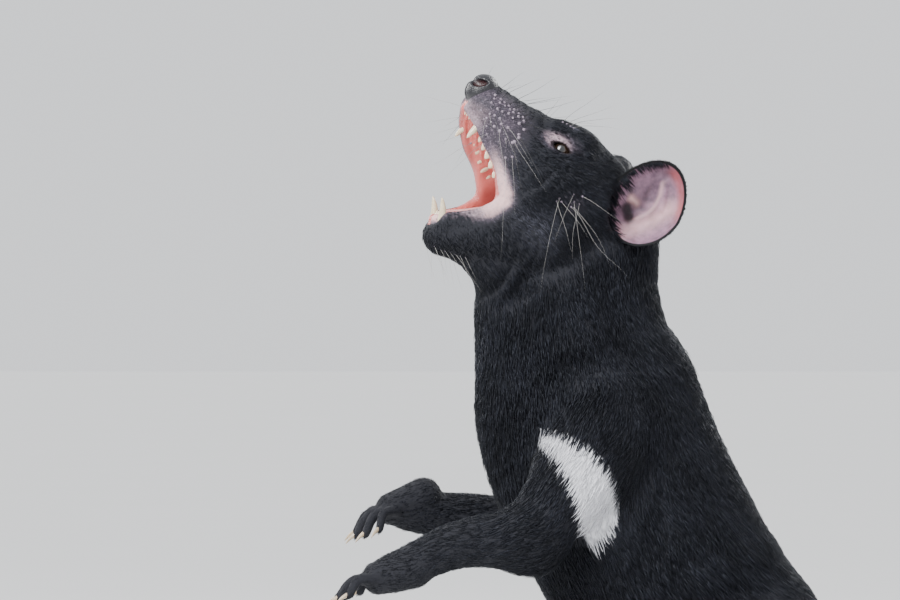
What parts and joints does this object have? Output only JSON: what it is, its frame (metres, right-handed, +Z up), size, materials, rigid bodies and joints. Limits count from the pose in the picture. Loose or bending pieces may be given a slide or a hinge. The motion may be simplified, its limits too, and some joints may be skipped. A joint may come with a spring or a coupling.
{
  "type": "tasmanian devil",
  "caption": "Life-size still model of a black marsupial carnivore rearing on its hind feet and tail, head thrown back and jaws wide open.",
  "frame": {"origin": "middle of the bounding box's underside, on the floor that the feet and tail rest on", "axes": "the animal faces -X, its left side is towards -Y, +Z is up"},
  "size_m": [0.6536, 0.2368, 0.5796],
  "materials": {
    "coat": "short dense black fur with a blue-grey sheen, white blaze on the left shoulder",
    "bare_skin": "bare lilac-pink skin inside the ears",
    "nose_leather": "wet, finely pebbled black nose",
    "mouth_lining": "wet coral-pink mouth lining and tongue",
    "eye": "wet dark eye",
    "tooth": "ivory teeth, yellower at the root",
    "claw": "grey-brown horn claws, paler towards the tip"
  },
  "bodies": {
    "root": {"head": "coat", "lower_jaw": "coat", "nose": "nose_leather", "tongue": "mouth_lining", "eye_left": "eye", "eye_right": "eye", "ear_left": "bare_skin", "ear_right": "bare_skin", "neck": "coat", "chest": "coat", "belly": "coat", "tail": "coat", "upper_arm_left": "coat", "upper_arm_right": "coat", "forearm_left": "coat", "forearm_right": "coat", "forepaw_left": "coat", "forepaw_right": "coat", "thigh_left": "coat", "thigh_right": "coat", "shank_left": "coat", "shank_right": "coat", "foot_left": "coat", "foot_right": "coat"}
  },
  "joints": []
}
